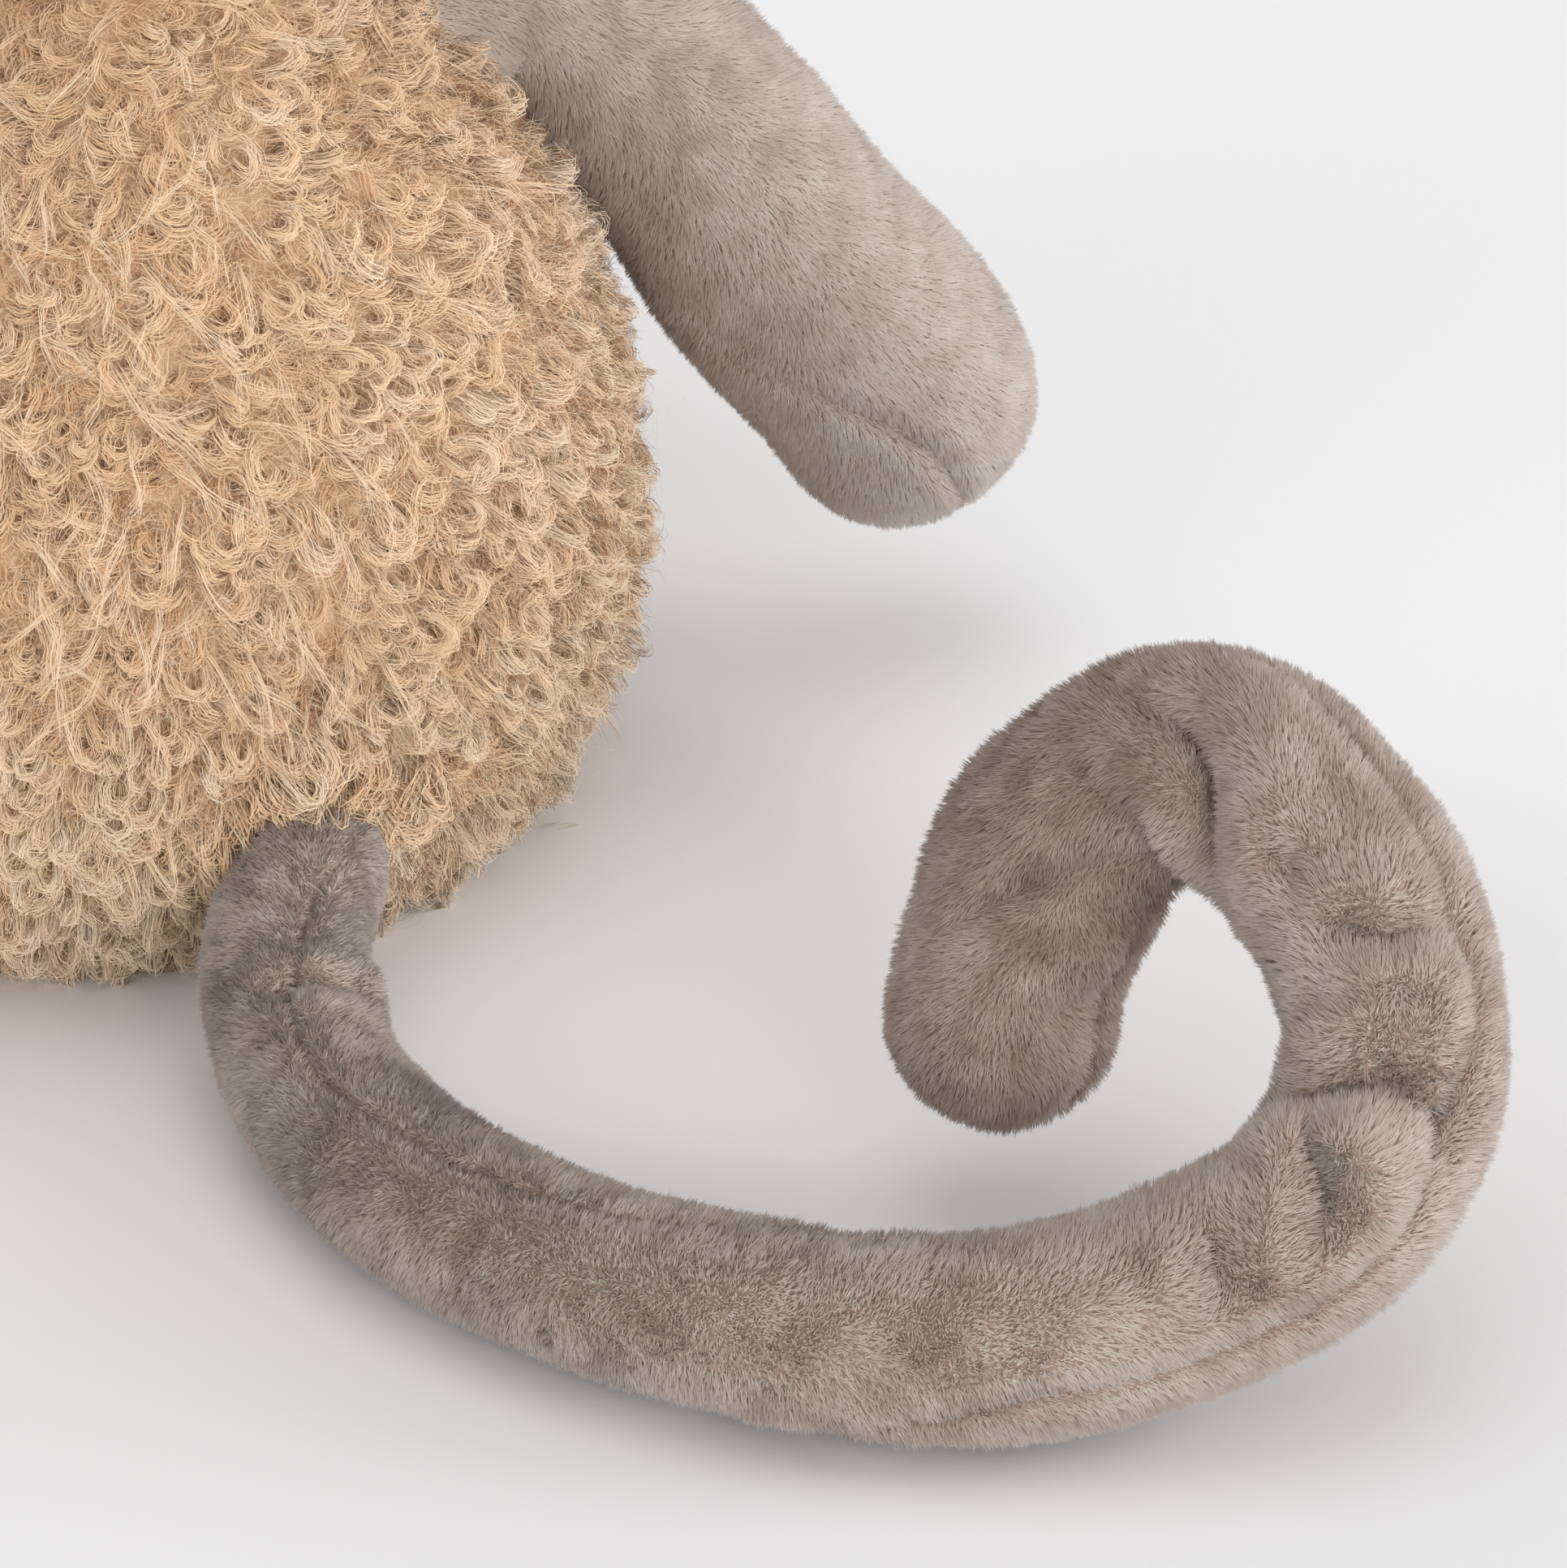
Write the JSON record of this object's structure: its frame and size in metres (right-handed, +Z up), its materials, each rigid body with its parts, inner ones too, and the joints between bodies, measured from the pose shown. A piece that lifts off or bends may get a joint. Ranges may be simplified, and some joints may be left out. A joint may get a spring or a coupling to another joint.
{
  "type": "plush monkey",
  "caption": "Sitting stuffed monkey with a curly body and head, short-pile limbs, flapping ears and a long tail that sweeps round to one side and stands up in a hook.",
  "frame": {"origin": "centre of the flat seat, on the surface that the toy sits on", "axes": "+Z up; the face looks along -Y; the toy's own right hand is on the -X side"},
  "size_m": [0.2702, 0.3747, 0.2163],
  "materials": {
    "curly_plush": "tan curly pile",
    "short_plush": "taupe short pile",
    "stuffing": "loose white fibre",
    "pellet_bag": "plain woven cloth",
    "eye": "polished black",
    "washer": "moulded white"
  },
  "bodies": {
    "torso": {"back_right_panel": "curly_plush", "back_left_panel": "curly_plush", "belly_panel": "curly_plush", "seat_panel": "curly_plush", "body_stuffing": "stuffing", "pellet_bag": "pellet_bag"},
    "head": {"head_right_panel": "curly_plush", "head_left_panel": "curly_plush", "face_panel": "short_plush", "muzzle_panel": "short_plush", "muzzle_stuffing": "stuffing", "head_stuffing": "stuffing", "eye_right": "eye", "eye_left": "eye", "eye_right_washer": "washer", "eye_left_washer": "washer"},
    "ear_right": {"ear_right_front": "short_plush", "ear_right_back": "short_plush"},
    "ear_left": {"ear_left_front": "short_plush", "ear_left_back": "short_plush"},
    "arm_right": {"arm_right_back_panel": "short_plush", "arm_right_front_panel": "short_plush", "arm_right_stuffing": "stuffing"},
    "arm_left": {"arm_left_back_panel": "short_plush", "arm_left_front_panel": "short_plush", "arm_left_stuffing": "stuffing"},
    "leg_right": {"leg_right_top_panel": "short_plush", "leg_right_under_panel": "short_plush", "leg_right_stuffing": "stuffing"},
    "leg_left": {"leg_left_top_panel": "short_plush", "leg_left_under_panel": "short_plush", "leg_left_stuffing": "stuffing"},
    "tail": {"tail_upper_panel": "short_plush", "tail_lower_panel": "short_plush", "tail_stuffing": "stuffing"}
  },
  "joints": [
    {"name": "neck_turn", "type": "hinge", "parent": "torso", "child": "head", "pos_m": [0, -0.004, 0.1283], "axis": [0, 0, 1], "range_deg": [-30, 30], "stiffness_Nm_per_rad": 0.1},
    {"name": "ear_right_flap", "type": "hinge", "parent": "head", "child": "ear_right", "pos_m": [-0.05389, -0.004, 0.1733], "axis": [0, 0, 1], "range_deg": [-20, 20], "stiffness_Nm_per_rad": 0.01},
    {"name": "ear_left_flap", "type": "hinge", "parent": "head", "child": "ear_left", "pos_m": [0.05389, -0.004, 0.1733], "axis": [0, 0, 1], "range_deg": [-20, 20], "stiffness_Nm_per_rad": 0.01},
    {"name": "shoulder_right", "type": "hinge", "parent": "torso", "child": "arm_right", "pos_m": [-0.04198, 0.006, 0.10912], "axis": [-0.8083, 0, 0.5887], "range_deg": [-35, 60], "stiffness_Nm_per_rad": 0.05},
    {"name": "shoulder_left", "type": "hinge", "parent": "torso", "child": "arm_left", "pos_m": [0.04198, 0.006, 0.10912], "axis": [-0.8083, 0, -0.5887], "range_deg": [-35, 60], "stiffness_Nm_per_rad": 0.05},
    {"name": "hip_right", "type": "hinge", "parent": "torso", "child": "leg_right", "pos_m": [-0.03228, -0.0559, 0.0185], "axis": [-0.866, 0.5, 0], "range_deg": [-70, 20], "stiffness_Nm_per_rad": 0.05},
    {"name": "hip_left", "type": "hinge", "parent": "torso", "child": "leg_left", "pos_m": [0.03228, -0.0559, 0.0185], "axis": [-0.866, -0.5, 0], "range_deg": [-70, 20], "stiffness_Nm_per_rad": 0.05},
    {"name": "tail_swing", "type": "hinge", "parent": "torso", "child": "tail", "pos_m": [0, 0.06465, 0.019], "axis": [0, 0, 1], "range_deg": [-20, 20], "stiffness_Nm_per_rad": 0.05}
  ]
}
